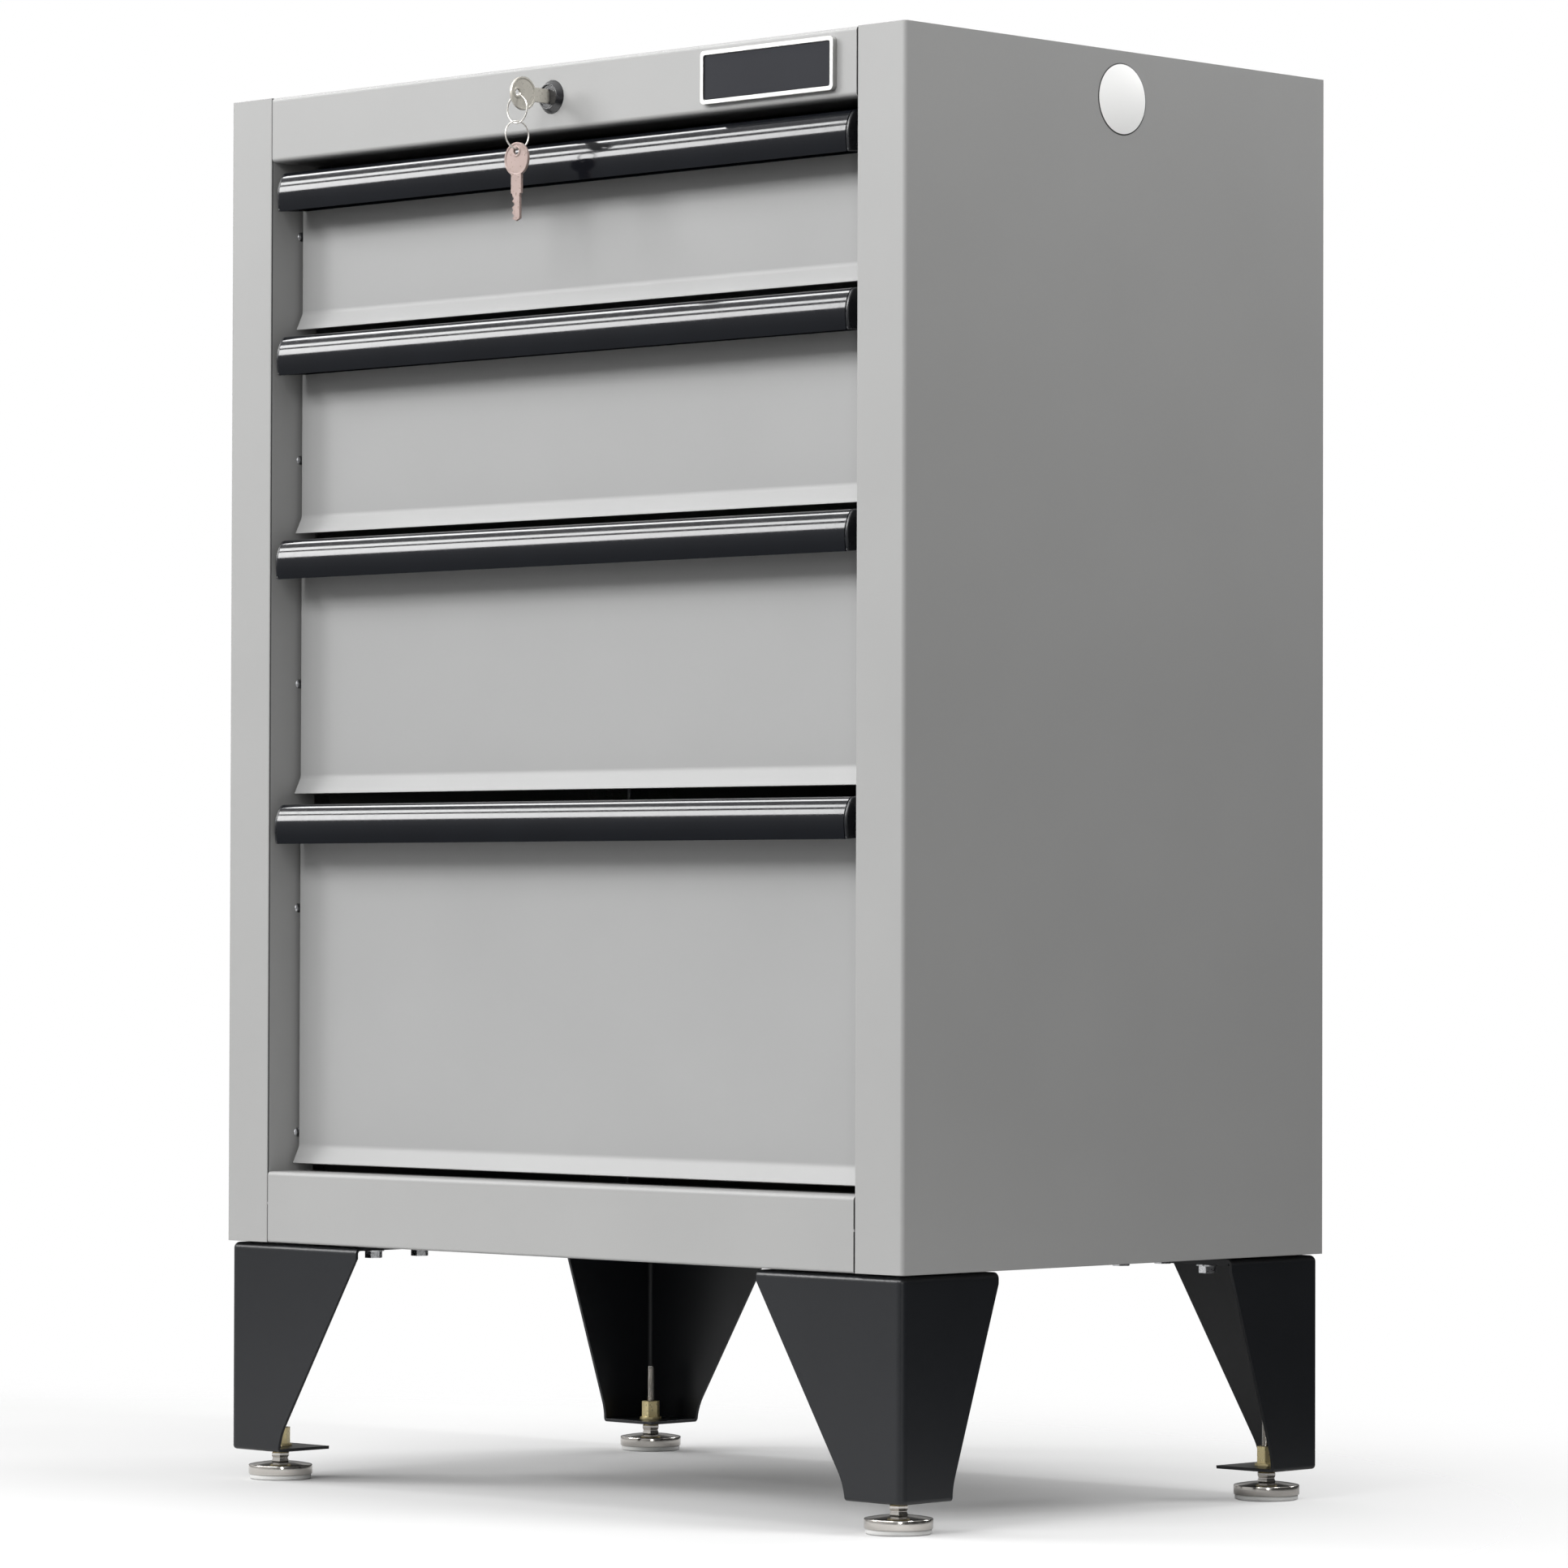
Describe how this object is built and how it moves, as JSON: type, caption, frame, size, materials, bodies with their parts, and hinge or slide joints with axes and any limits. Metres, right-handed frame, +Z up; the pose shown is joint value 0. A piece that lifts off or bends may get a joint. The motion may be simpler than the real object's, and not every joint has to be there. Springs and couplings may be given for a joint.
{
  "type": "tool cabinet",
  "caption": "Freestanding steel tool cabinet with stacked pull-out drawers, full-width handles, central key lock and corner legs on levelling feet.",
  "frame": {"origin": "middle of the bounding box at floor level", "axes": "+X across the front to the right as seen from the front, +Y from the front to the back, +Z up"},
  "size_m": [0.61, 0.4344, 0.91],
  "materials": {
    "body_grey": "fine-textured light grey powder coat",
    "drawer_grey": "fine-textured light grey powder coat",
    "handle_black": "gloss black coated extrusion",
    "zinc_steel": "bright zinc plate",
    "lock_black": "satin black",
    "nickel": "nickel plate",
    "guide_plastic": "moulded natural plastic",
    "plate_silver": "satin silver",
    "plate_field": "matt charcoal",
    "leg_black": "fine-textured charcoal powder coat",
    "foot_chrome": "bright plated steel on a pale plastic pad",
    "yellow_zinc": "yellow zinc plate"
  },
  "bodies": {
    "cabinet": {"left_side": "body_grey", "right_side": "body_grey", "top_panel": "body_grey", "bottom_panel": "body_grey", "back_panel": "body_grey", "left_slide_posts": "zinc_steel", "right_slide_posts": "zinc_steel", "rivets": "zinc_steel", "left_slide_outers": "zinc_steel", "right_slide_outers": "zinc_steel", "lock_barrel": "lock_black", "lock_nut": "zinc_steel", "lock_guides": "guide_plastic", "nameplate": "plate_silver", "nameplate_insert": "plate_field", "leg_front_left": "leg_black", "leg_front_right": "leg_black", "leg_rear_left": "leg_black", "leg_rear_right": "leg_black", "foot_inserts": "yellow_zinc", "leg_bolts": "zinc_steel", "leg_nuts": "zinc_steel"},
    "drawer_1": {"drawer_1_front": "drawer_grey", "drawer_1_box": "drawer_grey", "drawer_1_handle": "handle_black", "drawer_1_handle_caps": "handle_black", "drawer_1_slide_inner": "zinc_steel"},
    "drawer_1_middle": {"drawer_1_slide_middle": "zinc_steel"},
    "drawer_2": {"drawer_2_front": "drawer_grey", "drawer_2_box": "drawer_grey", "drawer_2_handle": "handle_black", "drawer_2_handle_caps": "handle_black", "drawer_2_slide_inner": "zinc_steel"},
    "drawer_2_middle": {"drawer_2_slide_middle": "zinc_steel"},
    "drawer_3": {"drawer_3_front": "drawer_grey", "drawer_3_box": "drawer_grey", "drawer_3_handle": "handle_black", "drawer_3_handle_caps": "handle_black", "drawer_3_slide_inner": "zinc_steel"},
    "drawer_3_middle": {"drawer_3_slide_middle": "zinc_steel"},
    "drawer_4": {"drawer_4_front": "drawer_grey", "drawer_4_box": "drawer_grey", "drawer_4_handle": "handle_black", "drawer_4_handle_caps": "handle_black", "drawer_4_slide_inner": "zinc_steel"},
    "drawer_4_middle": {"drawer_4_slide_middle": "zinc_steel"},
    "lock_plug": {"lock_plug": "nickel", "lock_rod": "zinc_steel", "lock_crank": "zinc_steel"},
    "lock_bar": {"lock_bar": "zinc_steel"},
    "key": {"key": "nickel"},
    "key_ring_upper": {"key_ring_upper": "nickel"},
    "key_ring_lower": {"key_ring_lower": "nickel"},
    "spare_key": {"spare_key": "nickel"},
    "foot_front_left": {"foot_front_left": "foot_chrome"},
    "foot_front_right": {"foot_front_right": "foot_chrome"},
    "foot_rear_left": {"foot_rear_left": "foot_chrome"},
    "foot_rear_right": {"foot_rear_right": "foot_chrome"}
  },
  "joints": [
    {"name": "drawer_1_slide", "type": "slide", "parent": "cabinet", "child": "drawer_1", "axis": [0, -1, 0], "range_m": [0, 0.25]},
    {"name": "drawer_1_middle_slide", "type": "slide", "parent": "cabinet", "child": "drawer_1_middle", "axis": [0, -1, 0], "range_m": [0, 0.125]},
    {"name": "drawer_2_slide", "type": "slide", "parent": "cabinet", "child": "drawer_2", "axis": [0, -1, 0], "range_m": [0, 0.25]},
    {"name": "drawer_2_middle_slide", "type": "slide", "parent": "cabinet", "child": "drawer_2_middle", "axis": [0, -1, 0], "range_m": [0, 0.125]},
    {"name": "drawer_3_slide", "type": "slide", "parent": "cabinet", "child": "drawer_3", "axis": [0, -1, 0], "range_m": [0, 0.25]},
    {"name": "drawer_3_middle_slide", "type": "slide", "parent": "cabinet", "child": "drawer_3_middle", "axis": [0, -1, 0], "range_m": [0, 0.125]},
    {"name": "drawer_4_slide", "type": "slide", "parent": "cabinet", "child": "drawer_4", "axis": [0, -1, 0], "range_m": [0, 0.25]},
    {"name": "drawer_4_middle_slide", "type": "slide", "parent": "cabinet", "child": "drawer_4_middle", "axis": [0, -1, 0], "range_m": [0, 0.125]},
    {"name": "lock_turn", "type": "hinge", "parent": "cabinet", "child": "lock_plug", "pos_m": [0, -0.17778, 0.8888], "axis": [0, -1, 0], "range_deg": [0, 90]},
    {"name": "lock_bar_lift", "type": "slide", "parent": "cabinet", "child": "lock_bar", "axis": [0, 0, 1], "range_m": [0, 0.008]},
    {"name": "key_pull", "type": "slide", "parent": "lock_plug", "child": "key", "axis": [0, -1, 0], "range_m": [0, 0.03]},
    {"name": "key_ring_upper_swing", "type": "hinge", "parent": "key", "child": "key_ring_upper", "pos_m": [0, -0.20803, 0.8873], "axis": [-1, 0, 0], "range_deg": [-10, 75]},
    {"name": "key_ring_lower_swing", "type": "hinge", "parent": "key_ring_upper", "child": "key_ring_lower", "pos_m": [0, -0.20803, 0.8697], "axis": [-1, 0, 0], "range_deg": [-15, 40]},
    {"name": "spare_key_swing", "type": "hinge", "parent": "key_ring_lower", "child": "spare_key", "pos_m": [0, -0.20803, 0.8534], "axis": [0, 1, 0], "range_deg": [-45, 45]},
    {"name": "foot_front_left_level", "type": "slide", "parent": "cabinet", "child": "foot_front_left", "axis": [0, 0, -1], "range_m": [0, 0.02]},
    {"name": "foot_front_right_level", "type": "slide", "parent": "cabinet", "child": "foot_front_right", "axis": [0, 0, -1], "range_m": [0, 0.02]},
    {"name": "foot_rear_left_level", "type": "slide", "parent": "cabinet", "child": "foot_rear_left", "axis": [0, 0, -1], "range_m": [0, 0.02]},
    {"name": "foot_rear_right_level", "type": "slide", "parent": "cabinet", "child": "foot_rear_right", "axis": [0, 0, -1], "range_m": [0, 0.02]}
  ],
  "couplings": [
    {"joint": "drawer_1_middle_slide", "follows": "drawer_1_slide", "ratio": 0.5},
    {"joint": "drawer_2_middle_slide", "follows": "drawer_2_slide", "ratio": 0.5},
    {"joint": "drawer_3_middle_slide", "follows": "drawer_3_slide", "ratio": 0.5},
    {"joint": "drawer_4_middle_slide", "follows": "drawer_4_slide", "ratio": 0.5},
    {"joint": "lock_turn", "follows": "lock_bar_lift", "rad_per_m": 196.3}
  ]
}
